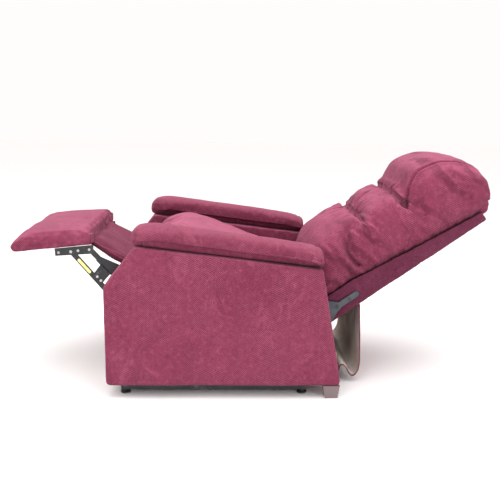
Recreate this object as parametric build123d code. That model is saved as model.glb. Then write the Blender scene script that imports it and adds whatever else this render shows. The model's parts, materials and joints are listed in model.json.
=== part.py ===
"""Power lift recliner for a patient, shown reclined with the leg rest out.

Millimetres, +Z up. The chair faces -Y and +X is the occupant's left. The origin is on the floor under
the middle of the overall outline. Side-view points are written (y, z) with y measured back from the
front edge of the side panels, and `side` shifts them into the part's frame.
"""
from build123d import *
from math import cos, hypot, radians, sin
import os

os.makedirs("parts", exist_ok=True)

# ---- driving dimensions -------------------------------------------------------------------------
FRONT = -493.0            # panel front edge, from the origin
PANEL_IN = 262.0          # inner wall of each side panel, from the centre plane
PANEL_OUT = 400.0
ARM_OUT = 405.0
PANEL_BOTTOM = 45.0       # height of the panel's lower edge above the floor
SEAT_HALF = 250.0         # half width of the seat cushion
BACK_HALF = 250.0
PAD_HALF = 256.0          # half width of the footrest pad
FLAP_HALF = 216.0         # half width of the padded web behind the footrest
REAR_FLAP_HALF = 246.0
CLOTH = 4.0               # thickness allowed for the hung rear flap
PIN_PLAY = 0.08           # radial running clearance of a pivot
OPEN_PLAY = 2.4           # radial clearance at an opened pivot of a closed linkage
PLATE = 4.5               # link thickness

# pivots, side view
LIFT_PIVOT = (150, 75)            # floor frame to lift arms
CHASSIS_PIVOT = (560, 92)         # lift arms to chassis
FRONT_LINK_LOW = (81, 65)         # floor frame to front links
FRONT_LINK_HIGH = (300, 70)       # front links to chassis, open pivot
BACK_PIVOT = (722, 300)
SEAT_PIVOT = (620, 262)
DRIVE_PIVOT = (180, 340)          # seat plate to leg drive link
KNEE = (14, 305)                  # drive link to lower link
UPPER_ROOT = (81.7, 318.4)        # drive link to upper link
RAIL_FRONT = (-129, 473)          # lower link to footrest rail
RAIL_REAR = (-66, 479)            # upper link to footrest rail, open pivot
CONTROL_ROOT = (205.4, 325.7)     # seat plate to control link
CONTROL_TIP = (34.6, 296.3)       # control link to lower link, open pivot
FLAP_HINGE = (95, 400)
TORQUE_TUBE = (130, 329.5)
LIFT_TUBE = (230, 190)            # cross tube of the lift arms, pushed by the lift actuator
BACK_TUBE = (735, 175)            # cross tube of the back, pushed by the recline actuator
LIFT_ANCHOR = (640, 60)
RECLINE_ANCHOR = (360, 215)
LEG_ANCHOR = (480, 270)
CHASSIS_MID_TUBE = (330, 207)
SEAT_FRONT_BAR = (158, 388)
SEAT_ANCHOR_BAR = (500, 284)      # carries the leg actuator
SEAT_REAR_BAR = (585, 262)

# the back leans: u runs up the back from its lower rear corner, w stands forward of it
BACK_CORNER = (739, 197)
BACK_ANGLE = 35.2
U = (cos(radians(BACK_ANGLE)), sin(radians(BACK_ANGLE)))
BACK_LENGTH = 690.0
BACK_BOARD = 14.0

# layers of the leg linkage, inner face of each, from the centre plane
SEAT_PLATE = 252.0
DRIVE_LAYER = 246.0
LOWER_LAYER = 240.0
UPPER_LAYER = 234.0
CONTROL_LAYER = 228.0

DECK_FRONT = (120, 425)           # seat deck, under the cushion
DECK_SLOPE = -0.3125
BAR_R = 10.0                      # seat frame bars
TUBE_R = 12.0                     # chassis tubes
PIN_R = 5.0                       # leg linkage pins
LIFT_PIN_R = 8.0


# ---- helpers ------------------------------------------------------------------------------------
def side(point):
    """A side-view point in the part's frame."""
    return (point[0] + FRONT, point[1])


def on_back(u, w):
    """A side-view point from its place on the leaning back."""
    return (BACK_CORNER[0] + u * U[0] - w * U[1], BACK_CORNER[1] + u * U[1] + w * U[0])


def deck(y):
    """Height of the seat deck."""
    return DECK_FRONT[1] + DECK_SLOPE * (y - DECK_FRONT[0])


def outline(points, radius=0.0):
    """A side-view face, with its corners rounded where a radius is given."""
    face = make_face(Polyline(*[side(p) for p in points], close=True))
    if radius:
        face = fillet(face.vertices(), radius)
    return face


def plate(points, x0, x1, radius=0.0):
    """A side-view outline given a width from x0 to x1."""
    return extrude(Plane.YZ.offset(x0) * outline(points, radius), amount=x1 - x0)


def rod_x(point, radius, x0, x1):
    """A round bar along X through a side-view point."""
    y, z = side(point)
    return extrude(Plane.YZ.offset(x0) * Pos(y, z) * Circle(radius), amount=x1 - x0)


def box(x0, x1, y0, y1, z0, z1):
    return plate([(y0, z0), (y1, z0), (y1, z1), (y0, z1)], x0, x1)


def bar(start, end, width, x0, x1):
    """A flat link with round ends between two side-view points."""
    run = hypot(end[0] - start[0], end[1] - start[1])
    nx = -(end[1] - start[1]) / run * width / 2
    ny = (end[0] - start[0]) / run * width / 2
    corners = [(start[0] + nx, start[1] + ny), (end[0] + nx, end[1] + ny),
               (end[0] - nx, end[1] - ny), (start[0] - nx, start[1] - ny)]
    body = plate(corners, x0, x1)
    return body + rod_x(start, width / 2, x0, x1) + rod_x(end, width / 2, x0, x1)


def bored(body, *holes):
    """The body with round holes along X, each (point, radius)."""
    for point, radius in holes:
        body = body - rod_x(point, radius, -500, 500)
    return body


def pair(body):
    """The body on the +X side and its mirror image on the other side."""
    return [body, mirror(body, about=Plane.YZ)]


def along(start, end, distance, offset=0.0):
    """The side-view point at a distance from start towards end, moved sideways (up) by an offset."""
    run = hypot(end[0] - start[0], end[1] - start[1])
    ey = (end[0] - start[0]) / run
    ez = (end[1] - start[1]) / run
    return (start[0] + ey * distance + abs(ez) * offset * (1 if ez * ey < 0 else -1),
            start[1] + ez * distance + abs(ey) * offset)


def cylinder_between(start, end, radius, x):
    """A round bar in the plane X = x between two side-view points."""
    (y0, z0), (y1, z1) = side(start), side(end)
    length = hypot(y1 - y0, z1 - z0)
    plane = Plane(origin=(x, y0, z0), z_dir=(0, y1 - y0, z1 - z0))
    return extrude(plane * Circle(radius), amount=length)


def node(name, *solids):
    """Write one node as a STEP file; several solids become a group."""
    flat = []
    for item in solids:
        for body in item if isinstance(item, list) else [item]:
            flat.extend(body.solids())
    shape = flat[0] if len(flat) == 1 else Compound(children=flat)
    export_step(shape, f"parts/{name}.step")


# ---- floor frame --------------------------------------------------------------------------------
FLOOR_LOW = 14.0
FLOOR_HIGH = 39.0
GLIDE_X = 334.0


def floor_frame():
    node("floor_side_tubes",
         pair(box(322, 347, 46, 682, FLOOR_LOW, FLOOR_HIGH)),
         pair(box(172, 198, 85, 600, FLOOR_LOW, FLOOR_HIGH)))
    node("floor_cross_tubes",
         box(-322, 322, 60, 85, FLOOR_LOW, FLOOR_HIGH),
         box(-322, 322, 600, 625, FLOOR_LOW, FLOOR_HIGH))
    glides = []
    for y in (60, 666):
        stem = Pos(GLIDE_X, y + FRONT, 5) * Cylinder(7, 9, align=(Align.CENTER, Align.CENTER, Align.MIN))
        foot = Pos(GLIDE_X, y + FRONT, 0) * Cylinder(17, 5, align=(Align.CENTER, Align.CENTER, Align.MIN))
        glides += pair(stem + foot)
    node("levelling_glides", glides)
    rear_bracket = plate([(118, FLOOR_LOW), (182, FLOOR_LOW), (164, 92), (136, 92)], 198, 203)
    front_bracket = plate([(61, FLOOR_HIGH), (104, FLOOR_HIGH), (93, 80), (69, 80)], 198, 203)
    ear = [(604, FLOOR_HIGH), (625, FLOOR_HIGH), (656, 46), (656, 74), (628, 78), (604, 62)]
    node("floor_pivot_brackets", pair(rear_bracket), pair(front_bracket), pair(plate(ear, 22, 27)))
    node("floor_pivot_pins",
         pair(rod_x(LIFT_PIVOT, LIFT_PIN_R, 203, 217)),
         pair(rod_x(FRONT_LINK_LOW, 6, 203, 228)),
         rod_x(LIFT_ANCHOR, 6, -22, 22))
    node("power_supply", fillet(box(96, 172, 480, 590, FLOOR_LOW, 62).edges().filter_by(Axis.Z), 6))


# ---- lift linkage -------------------------------------------------------------------------------
def lift_linkage():
    arm = bar(LIFT_PIVOT, CHASSIS_PIVOT, 40, 205, 213)
    gusset = plate([(140, 92), (218, 206), (242, 206), (352, 98)], 205, 213)
    holes = [(LIFT_PIVOT, LIFT_PIN_R + PIN_PLAY), (CHASSIS_PIVOT, LIFT_PIN_R + PIN_PLAY)]
    node("lift_arms", pair(bored(arm + gusset, *holes)), rod_x(LIFT_TUBE, 10, -205, 205))
    link = bar(FRONT_LINK_LOW, FRONT_LINK_HIGH, 26, 218, 225)
    link = bored(link, (FRONT_LINK_LOW, 6 + PIN_PLAY), (FRONT_LINK_HIGH, 6 + OPEN_PLAY))
    node("lift_front_links", pair(link))


# ---- chassis ------------------------------------------------------------------------------------
ARM_UNDER = [(105, 521), (723, 450)]


def side_panel(x_sign):
    points = [(0, PANEL_BOTTOM), (0, 385), (105, 521), (723, 450), (793, PANEL_BOTTOM)]
    panel = plate(points, PANEL_IN, PANEL_OUT, radius=12)
    panel = fillet(panel.faces().sort_by(Axis.X)[-1].edges(), 10)
    return panel if x_sign > 0 else mirror(panel, about=Plane.YZ)


def arm_pad(x_sign):
    points = [(99, 535), (105, 568), (122, 588), (150, 590), (300, 571), (500, 545), (690, 518),
              (712, 508), (717, 480), (716, 452), (105, 522.5)]
    pad = plate(points, PANEL_IN, ARM_OUT, radius=5)
    pad = pad - plate([ARM_UNDER[0], (723, 450.3), (723, 440), (105, 440)], PANEL_IN - 5, ARM_OUT + 5)
    return pad if x_sign > 0 else mirror(pad, about=Plane.YZ)


def chassis():
    for name, sign in (("left", 1), ("right", -1)):
        node(f"side_panel_{name}", side_panel(sign))
        node(f"arm_pad_{name}", arm_pad(sign))
    node("chassis_side_rails", pair(box(232, PANEL_IN, 100, 735, 48, 78)))
    bracket = plate([(530, 78), (590, 78), (576, 112), (544, 112)], 232, 240)
    ear = [(325, 219), (365, 229), (374, 215), (365, 201), (325, 195)]
    ears = [plate(ear, x, x + 5) - rod_x(CHASSIS_MID_TUBE, TUBE_R, 0, 200) for x in (42, 79)]
    node("chassis_brackets", pair(bracket), ears)
    flange = rod_x(CHASSIS_MID_TUBE, 26, 258, PANEL_IN)
    node("chassis_cross_tubes",
         rod_x((705, 64), TUBE_R, -232, 232),
         rod_x(CHASSIS_MID_TUBE, TUBE_R, -258, 258),
         pair(flange))
    node("front_stretcher", box(-PANEL_IN, PANEL_IN, 28, 46, 50, 80))
    node("rear_stretcher", box(-PANEL_IN, PANEL_IN, 778, 796, 48, 118))
    node("panel_bolts", *[pair(rod_x(p, 9, 228, 232)) for p in ((200, 63), (460, 63), (650, 63))])
    plates = [rod_x(p, 24, 260, PANEL_IN) for p in (BACK_PIVOT, SEAT_PIVOT)]
    node("pivot_plates", *[pair(p) for p in plates])
    node("chassis_pivot_pins",
         pair(rod_x(BACK_PIVOT, 6, 251, 260)),
         pair(rod_x(SEAT_PIVOT, 6, 251, 260)),
         pair(rod_x(CHASSIS_PIVOT, LIFT_PIN_R, 203, 232)),
         pair(rod_x(FRONT_LINK_HIGH, 6, 216, 232)),
         rod_x(RECLINE_ANCHOR, 6, 47, 79))
    top = Pos(370, 760.5 + FRONT, PANEL_BOTTOM) * Rectangle(50, 57)
    foot = Pos(370, 761.5 + FRONT, 0) * Rectangle(42, 43)
    node("rear_foot_blocks", pair(loft([foot, top])))
    node("rear_flap_strip", box(-REAR_FLAP_HALF, REAR_FLAP_HALF, 796, 806, 26, 66))
    node("rear_flap", rear_flap())


def rear_flap():
    """Cloth hung from the back's rear face, down in a J and caught at the low rear strip."""
    line = [(879, 286), (884, 134), (887, 66), (876, 30), (858, 20), (842, 36), (832, 58), (821, 66),
            (810, 60), (808.5, 32)]
    outer = [side(p) for p in line]
    wall = trace(Polyline(*outer), line_width=CLOTH)
    return extrude(Plane.YZ.offset(-REAR_FLAP_HALF) * wall, amount=2 * REAR_FLAP_HALF)


# ---- seat ---------------------------------------------------------------------------------------
def seat():
    rim = [(138, 402), (600, 284), (636, 282), (640, 262), (636, 244), (600, 240), (420, 288),
           (240, 300), (168, 312)]
    holes = [(SEAT_PIVOT, 6 + PIN_PLAY)]
    node("seat_side_plates", pair(bored(plate(rim, SEAT_PLATE, SEAT_PLATE + PLATE), *holes)))
    front_bar = rod_x(SEAT_FRONT_BAR, BAR_R, -SEAT_PLATE, SEAT_PLATE)
    anchor_bar = rod_x(SEAT_ANCHOR_BAR, BAR_R, -SEAT_PLATE, SEAT_PLATE)
    rear_bar = rod_x(SEAT_REAR_BAR, BAR_R, -SEAT_PLATE, SEAT_PLATE)
    node("seat_cross_bars", front_bar, anchor_bar, rear_bar)
    node("seat_springs", *[seat_spring(x) for x in (-180, -90, 0, 90, 180)])
    node("seat_pivot_pins",
         pair(rod_x(DRIVE_PIVOT, PIN_R, DRIVE_LAYER - 1, SEAT_PLATE)),
         pair(rod_x(CONTROL_ROOT, PIN_R, CONTROL_LAYER - 1, SEAT_PLATE)),
         rod_x(LEG_ANCHOR, 6, -79, -47))
    ear = [(466, 262), (474, 256), (488, 258), (508, 278), (508, 288), (492, 288)]
    ears = [plate(ear, x, x + 5) - rod_x(SEAT_ANCHOR_BAR, BAR_R, -100, 0) for x in (-84, -47)]
    hanger = bored(bar((152, 398), FLAP_HINGE, 16, 219, 223), (FLAP_HINGE, 4 + PIN_PLAY))
    node("seat_brackets", ears, pair(hanger - rod_x(SEAT_FRONT_BAR, BAR_R, 0, 300)))
    cushion = [(124, deck(124)), (128, 486), (146, 516), (177, 536), (237, 537), (336, 507), (474, 455),
               (560, 424), (590, 402), (608, 350), (610, deck(610))]
    node("seat_cushion", plate(cushion, -SEAT_HALF, SEAT_HALF))


def seat_spring(x):
    """One sinuous spring: short cross wires joined end to end by alternate long wires."""
    half, wire, pitch = 22, 3.4, 44
    first, last = 165, 561
    y = first
    turn = 1
    low = -7.0
    spring = None
    while y < last:
        here, there = (y, deck(y) + low), (y + pitch, deck(y + pitch) + low)
        run = bar(here, there, wire, x + turn * half - wire / 2, x + turn * half + wire / 2)
        cross = rod_x(there, wire / 2, x - half, x + half)
        piece = run + cross
        spring = piece if spring is None else spring + piece
        y += pitch
        turn = -turn
    return spring


# ---- leg rest -----------------------------------------------------------------------------------
def leg_rest():
    drive = bar(DRIVE_PIVOT, KNEE, 20, DRIVE_LAYER, DRIVE_LAYER + PLATE)
    drive = bored(drive, (DRIVE_PIVOT, PIN_R + PIN_PLAY))
    node("leg_drive_links", pair(drive), rod_x(TORQUE_TUBE, 8, -DRIVE_LAYER, DRIVE_LAYER))
    node("leg_drive_pins",
         pair(rod_x(KNEE, PIN_R, LOWER_LAYER - 1, DRIVE_LAYER)),
         pair(rod_x(UPPER_ROOT, PIN_R, UPPER_LAYER - 1, DRIVE_LAYER)))

    lower = bar(RAIL_FRONT, KNEE, 18, LOWER_LAYER, LOWER_LAYER + PLATE)
    lower = lower + bar(KNEE, CONTROL_TIP, 18, LOWER_LAYER, LOWER_LAYER + PLATE)
    node("leg_lower_links", pair(bored(lower, (KNEE, PIN_R + PIN_PLAY))))
    face = LOWER_LAYER + PLATE
    rivets = [pair(rod_x(p, 4.5, face + 1.2, face + 2.6)) for p in ((-42, 385), (-30, 371))]
    node("leg_lower_pins",
         pair(rod_x(RAIL_FRONT, PIN_R, face, 251)),
         pair(rod_x(CONTROL_TIP, PIN_R, CONTROL_LAYER - 1, LOWER_LAYER)),
         *rivets)
    node("leg_link_labels", pair(bar((-103, 442.5), (-68, 401.4), 10, face, face + 0.3)))
    node("leg_gusset_plates", pair(plate([(-54, 396), (-26, 361), (2, 394), (-30, 428)], face, face + 1.2)))

    upper = bar(RAIL_REAR, UPPER_ROOT, 18, UPPER_LAYER, UPPER_LAYER + PLATE)
    upper = upper + rod_x(RAIL_REAR, 11, UPPER_LAYER, UPPER_LAYER + PLATE)
    upper = bored(upper, (UPPER_ROOT, PIN_R + PIN_PLAY), (RAIL_REAR, PIN_R + OPEN_PLAY))
    face = UPPER_LAYER + PLATE
    tab = plate([(-34, 456), (-46, 440), (0, 390), (30, 400), (34, 426)], face, face + 1.2)
    node("leg_upper_links", pair(upper), pair(tab))
    control = bar(CONTROL_TIP, CONTROL_ROOT, 14, CONTROL_LAYER, CONTROL_LAYER + PLATE)
    control = control + rod_x(CONTROL_TIP, 11, CONTROL_LAYER, CONTROL_LAYER + PLATE)
    control = bored(control, (CONTROL_ROOT, PIN_R + PIN_PLAY), (CONTROL_TIP, PIN_R + OPEN_PLAY))
    node("leg_control_links", pair(control))

    rail = plate([(-182, 458), (-60, 466), (-52, 474), (-52, 497), (-184, 483.5)], 246, 250.5)
    node("footrest_rails", pair(bored(rail, (RAIL_FRONT, PIN_R + PIN_PLAY))))
    rivets = [pair(rod_x(p, 4.5, 250.5, 252)) for p in ((-170, 470), (-104, 477), (-66, 481))]
    node("footrest_pins", pair(rod_x(RAIL_REAR, PIN_R, UPPER_LAYER - 1, 246)), *rivets)
    board = [(-300, 472), (-72, 496), (-73.3, 508), (-301.3, 484)]
    node("footrest_board", plate(board, -240, 240))
    pad = [(-325, 469.4), (-59, 497.4), (-54, 540), (-289, 523), (-328, 504), (-336, 488)]
    pad = plate(pad, -PAD_HALF, PAD_HALF) - plate(board, -240, 240)
    node("footrest_pad", pad - plate([(-300, 465), (-72, 490), (-72, 500), (-300, 476)], -240, 240))

    node("front_flap_rod", rod_x(FLAP_HINGE, 4, -225, 225))
    web = [(-44, 495), (-52, 479), (80, 399), (89, 414)]
    node("front_flap", plate(web, -FLAP_HALF, FLAP_HALF))


# ---- back ---------------------------------------------------------------------------------------
def back_plate(points, x0, x1, radius=0.0):
    return plate([on_back(u, w) for u, w in points], x0, x1, radius)


def band(u):
    """How far the upholstered side band stands forward of the back's rear face."""
    marks = [(0, 90), (200, 90), (254, 81), (420, 62), (BACK_LENGTH, 36)]
    for (u0, w0), (u1, w1) in zip(marks, marks[1:]):
        if u <= u1:
            return w0 + (w1 - w0) * (u - u0) / (u1 - u0)
    return marks[-1][1]


CREASE_LOW = 331.0
CREASE_HIGH = 479.0


def back():
    node("back_board", back_plate([(12, 0), (BACK_LENGTH, 0), (BACK_LENGTH, BACK_BOARD), (12, BACK_BOARD)],
                                  -BACK_HALF, BACK_HALF))
    edge = [(u, band(u)) for u in (BACK_LENGTH, 420, 254, 200, 0)]
    node("back_side_bands", pair(back_plate([(0, BACK_BOARD), (BACK_LENGTH, BACK_BOARD)] + edge, 240, BACK_HALF)))
    rail = [(20, BACK_BOARD), (670, BACK_BOARD), (670, 32), (420, 46), (20, 46)]
    rails = [back_plate([(u, BACK_BOARD), (u + 30, BACK_BOARD), (u + 30, 32), (u, 32)], -212, 212)
             for u in (24, 320, 630)]
    node("back_frame_rails", pair(back_plate(rail, 212, 240)), *rails)
    gap = 0.5
    low = [(30, 90 + gap), (200, 90 + gap), (254, 81 + gap), (CREASE_LOW - 1, band(CREASE_LOW) + gap),
           (CREASE_LOW - 1, 212), (318, 250), (290, 262), (169, 262), (140, 250), (75, 195), (25, 150)]
    node("back_lower_bolster", back_plate(low, -BACK_HALF, BACK_HALF))
    mid = [(CREASE_LOW + 1, band(CREASE_LOW) + gap), (420, 62 + gap), (CREASE_HIGH - 1, band(CREASE_HIGH) + gap),
           (CREASE_HIGH - 1, 215), (455, 255), (409, 266), (350, 254), (CREASE_LOW + 1, 215)]
    node("back_middle_bolster", back_plate(mid, -BACK_HALF, BACK_HALF))
    head = [(CREASE_HIGH + 1, band(CREASE_HIGH) + gap), (BACK_LENGTH + gap, 36 + gap), (BACK_LENGTH + gap, 12),
            (723, 16), (738, 35), (757, 68), (765, 119), (775, 167), (766, 193), (721, 239), (667, 268),
            (587, 277), (519, 267), (492, 250), (CREASE_HIGH + 1, 215)]
    node("head_pillow", back_plate(head, -BACK_HALF, BACK_HALF))

    fork = (800, 290)
    bracket = bar((856, 330), fork, 20, 253, 257)
    bracket = bracket + bar(fork, BACK_PIVOT, 18, 253, 257)
    bracket = bracket + bar((792, 282), BACK_TUBE, 18, 253, 257)
    web = [(802, 297), (748, 303), (752, 230), (758, 226), (806, 280)]
    bracket = bracket + plate(web, 253, 257, radius=3)
    drive_tube = rod_x(BACK_TUBE, 9, -253, 253)
    node("back_brackets", pair(bored(bracket, (BACK_PIVOT, 6 + PIN_PLAY))), drive_tube)
    bolts = ((834, 311), (792, 283))
    heads = [pair(rod_x(p, 6, 257, 260)) for p in bolts]
    spacers = [pair(rod_x(p, 9, BACK_HALF, 253)) for p in bolts]
    node("bracket_bolts", *heads, *spacers)


# ---- actuators ----------------------------------------------------------------------------------
EYE_PLAY = 7.0            # the rod's eye is an open pivot round its cross tube
EYE_WALL = 4.5


def actuator(name, anchor, tip, x, tube_r, shortest, shift, motor_side):
    """A linear actuator from its anchor pin to an eye round a cross tube, in the plane X = x."""
    length = hypot(tip[0] - anchor[0], tip[1] - anchor[1])
    tube_end = shortest - tube_r - EYE_PLAY - EYE_WALL - 8
    eye = along(anchor, tip, length, shift)
    start = along(anchor, eye, 34)
    gearbox = cylinder_between(along(anchor, eye, 20), along(anchor, eye, 62), 21, x)
    lug = bar(anchor, along(anchor, eye, 24), 26, x - 13, x + 13)
    housing = bored(gearbox + lug, (anchor, 6 + PIN_PLAY))
    bore = cylinder_between(start, along(anchor, eye, length), 9, x)
    tube = cylinder_between(along(anchor, eye, 62), along(anchor, eye, tube_end), 15, x)
    node(f"{name}_housing", housing - bore, tube - bore)
    motor_from = along(anchor, eye, 40, 43.2 * motor_side)
    motor_to = along(anchor, eye, 126, 43.2 * motor_side)
    node(f"{name}_motor", cylinder_between(motor_from, motor_to, 22, x))
    rod = cylinder_between(along(anchor, eye, tube_end - 118), along(anchor, eye, length - tube_r - EYE_PLAY - 2),
                           8, x)
    ring = rod_x(eye, tube_r + EYE_PLAY + EYE_WALL, x - 9, x + 9)
    node(f"{name}_rod", bored(rod + ring, (eye, tube_r + EYE_PLAY)))


floor_frame()
lift_linkage()
chassis()
seat()
leg_rest()
back()
actuator("lift_actuator", LIFT_ANCHOR, LIFT_TUBE, 0, 10, 430, 5, 1)
actuator("recline_actuator", RECLINE_ANCHOR, BACK_TUBE, 63, 9, 377, -4, -1)
actuator("leg_actuator", LEG_ANCHOR, TORQUE_TUBE, -63, 8, 306, -4, -1)
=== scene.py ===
"""The looks of the reclined power lift chair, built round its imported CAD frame.

Metres, in the CAD part's own frame: the chair faces -Y, +X is the occupant's left, +Z is up.
"""

import json
import math

import bmesh
import bpy
import numpy as np
from mathutils import Matrix, Vector, noise


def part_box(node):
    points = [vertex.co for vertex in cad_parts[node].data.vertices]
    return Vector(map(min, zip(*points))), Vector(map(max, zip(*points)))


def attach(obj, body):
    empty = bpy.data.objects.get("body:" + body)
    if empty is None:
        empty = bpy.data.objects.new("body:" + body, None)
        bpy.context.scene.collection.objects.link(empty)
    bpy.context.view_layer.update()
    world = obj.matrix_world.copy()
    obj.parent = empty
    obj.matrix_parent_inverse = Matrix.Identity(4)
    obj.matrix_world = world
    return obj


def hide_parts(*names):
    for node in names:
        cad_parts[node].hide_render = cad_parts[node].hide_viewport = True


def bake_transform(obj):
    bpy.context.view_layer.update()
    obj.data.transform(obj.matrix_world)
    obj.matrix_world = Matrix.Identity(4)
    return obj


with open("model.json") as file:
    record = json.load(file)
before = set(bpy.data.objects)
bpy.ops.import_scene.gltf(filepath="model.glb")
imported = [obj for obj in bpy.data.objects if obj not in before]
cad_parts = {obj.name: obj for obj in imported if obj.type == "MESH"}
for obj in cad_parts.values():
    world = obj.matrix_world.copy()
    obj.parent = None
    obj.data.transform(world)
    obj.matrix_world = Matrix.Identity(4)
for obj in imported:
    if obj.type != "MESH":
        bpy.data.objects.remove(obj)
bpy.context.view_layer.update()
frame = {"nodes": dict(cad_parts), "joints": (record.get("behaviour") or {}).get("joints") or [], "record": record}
scene = bpy.context.scene
scene.view_settings.view_transform = "Standard"

# ---- camera, floor and light --------------------------------------------------------------------
CAMERA_AT = Vector((2.7067, -0.0905, 0.9952))
CAMERA_PITCH = 0.2053          # radians down
CAMERA_YAW = 0.0330
CAMERA_ROLL = 0.0136
CAMERA_SENSOR = 36.0
CAMERA_LENS = 52.54


def make_camera():
    forward = Vector((-math.cos(CAMERA_PITCH) * math.cos(CAMERA_YAW),
                      math.cos(CAMERA_PITCH) * math.sin(CAMERA_YAW),
                      -math.sin(CAMERA_PITCH)))
    level = forward.cross(Vector((0, 0, 1))).normalized()
    above = level.cross(forward)
    right = level * math.cos(CAMERA_ROLL) + above * math.sin(CAMERA_ROLL)
    up = above * math.cos(CAMERA_ROLL) - level * math.sin(CAMERA_ROLL)
    data = bpy.data.cameras.new("camera")
    data.sensor_width = CAMERA_SENSOR
    data.lens = CAMERA_LENS
    camera = bpy.data.objects.new("camera", data)
    rows = Matrix((right, up, -forward)).transposed()
    camera.matrix_world = Matrix.Translation(CAMERA_AT) @ rows.to_4x4()
    scene.collection.objects.link(camera)
    scene.camera = camera


def area_light(name, place, target, size, power):
    data = bpy.data.lights.new(name, "AREA")
    data.size = size
    data.energy = power
    lamp = bpy.data.objects.new(name, data)
    lamp.location = place
    lamp.rotation_euler = (Vector(target) - Vector(place)).to_track_quat("-Z", "Y").to_euler()
    scene.collection.objects.link(lamp)


# ---- material building --------------------------------------------------------------------------
class Graph:
    """A short way to write a material's nodes."""

    def __init__(self, name, roughness, **constants):
        self.material = bpy.data.materials.new(name)
        self.material.use_nodes = True
        self.tree = self.material.node_tree
        self.shader = self.tree.nodes["Principled BSDF"]
        self.shader.inputs["Roughness"].default_value = roughness
        for key, value in constants.items():
            self.shader.inputs[key.replace("_", " ")].default_value = value

    def plug(self, socket, value):
        if isinstance(value, bpy.types.NodeSocket):
            self.tree.links.new(value, socket)
        else:
            socket.default_value = value

    def math(self, operation, a, b=0.0, clamp=False):
        node = self.tree.nodes.new("ShaderNodeMath")
        node.operation = operation
        node.use_clamp = clamp
        self.plug(node.inputs[0], a)
        self.plug(node.inputs[1], b)
        return node.outputs[0]

    def times(self, a, b):
        return self.math("MULTIPLY", a, b)

    def place(self, output="Object"):
        return self.tree.nodes.new("ShaderNodeTexCoord").outputs[output]

    def split(self, vector):
        node = self.tree.nodes.new("ShaderNodeSeparateXYZ")
        self.plug(node.inputs[0], vector)
        return node.outputs

    def scaled(self, vector, scale, turn=(0, 0, 0)):
        node = self.tree.nodes.new("ShaderNodeMapping")
        self.plug(node.inputs["Vector"], vector)
        node.inputs["Scale"].default_value = scale
        node.inputs["Rotation"].default_value = turn
        return node.outputs[0]

    def noise(self, vector, scale, detail=3.0, roughness=0.55, distortion=0.0):
        node = self.tree.nodes.new("ShaderNodeTexNoise")
        self.plug(node.inputs["Vector"], vector)
        node.inputs["Scale"].default_value = scale
        node.inputs["Detail"].default_value = detail
        node.inputs["Roughness"].default_value = roughness
        node.inputs["Distortion"].default_value = distortion
        return node.outputs[0]

    def swirls(self, vector, scale, distortion):
        """Curved strokes, as a hand leaves in napped cloth."""
        node = self.tree.nodes.new("ShaderNodeTexWave")
        node.wave_type = "RINGS"
        node.rings_direction = "SPHERICAL"
        self.plug(node.inputs["Vector"], vector)
        node.inputs["Scale"].default_value = scale
        node.inputs["Distortion"].default_value = distortion
        node.inputs["Detail"].default_value = 3.0
        node.inputs["Detail Scale"].default_value = 1.4
        return node.outputs[1]

    def ramp(self, value, low, high, start=0.0, end=1.0):
        node = self.tree.nodes.new("ShaderNodeMapRange")
        node.interpolation_type = "SMOOTHSTEP"
        self.plug(node.inputs[0], value)
        for index, number in zip((1, 2, 3, 4), (low, high, start, end)):
            node.inputs[index].default_value = number
        return node.outputs[0]

    def mix(self, factor, a, b):
        node = self.tree.nodes.new("ShaderNodeMix")
        node.data_type = "RGBA"
        self.plug(node.inputs[0], factor)
        self.plug(node.inputs[6], a)
        self.plug(node.inputs[7], b)
        return node.outputs[2]

    def wash(self, shade, colour, where, amount):
        """Move the shade towards a colour where the mask is high."""
        return self.mix(self.times(where, amount), shade, colour)

    def blend(self, factor, a, b):
        """Float mix."""
        node = self.tree.nodes.new("ShaderNodeMix")
        self.plug(node.inputs[0], factor)
        self.plug(node.inputs[2], a)
        self.plug(node.inputs[3], b)
        return node.outputs[0]

    def hollow(self, distance):
        """1 on open surfaces, falling towards 0 inside folds and under overhangs."""
        node = self.tree.nodes.new("ShaderNodeAmbientOcclusion")
        node.samples = 8
        node.inputs["Distance"].default_value = distance
        return node.outputs["AO"]

    def bump(self, height, distance, strength=1.0, before=None):
        node = self.tree.nodes.new("ShaderNodeBump")
        node.inputs["Strength"].default_value = strength
        node.inputs["Distance"].default_value = distance
        self.plug(node.inputs["Height"], height)
        if before is not None:
            self.plug(node.inputs["Normal"], before)
        return node.outputs[0]

    def finish(self, colour, normal=None, roughness=None):
        self.plug(self.shader.inputs["Base Color"], colour)
        if normal is not None:
            self.plug(self.shader.inputs["Normal"], normal)
        if roughness is not None:
            self.plug(self.shader.inputs["Roughness"], roughness)
        return self.material


TURN = 2 * math.pi
SIDE_FACING = 0.62             # |normal x| above which a surface counts as a side
CHEVRON_WIDTH = 0.0136
CHEVRON_PITCH = 0.0068
BEAD_WIDTH = CHEVRON_WIDTH / 3
THREAD = 0.0016
THREAD_LIGHT = (0.86, 0.81, 0.75, 1.0)
DUST = (0.32, 0.30, 0.29, 1.0)


def dimmed(colour, share):
    return tuple(c * share for c in colour[:3]) + (1.0,)


def cloth_plane(g):
    """Two coordinates that lie in the cloth, chosen by which way the surface faces."""
    spot = g.split(g.place())
    side, along, top = (g.math("ABSOLUTE", axis) for axis in g.split(g.place("Normal")))
    on_side = g.math("GREATER_THAN", side, SIDE_FACING)
    upright = g.math("GREATER_THAN", along, top)
    first = g.blend(on_side, spot[0], spot[1])
    second = g.blend(g.math("MAXIMUM", on_side, upright), spot[1], spot[2])
    return first, second


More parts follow.
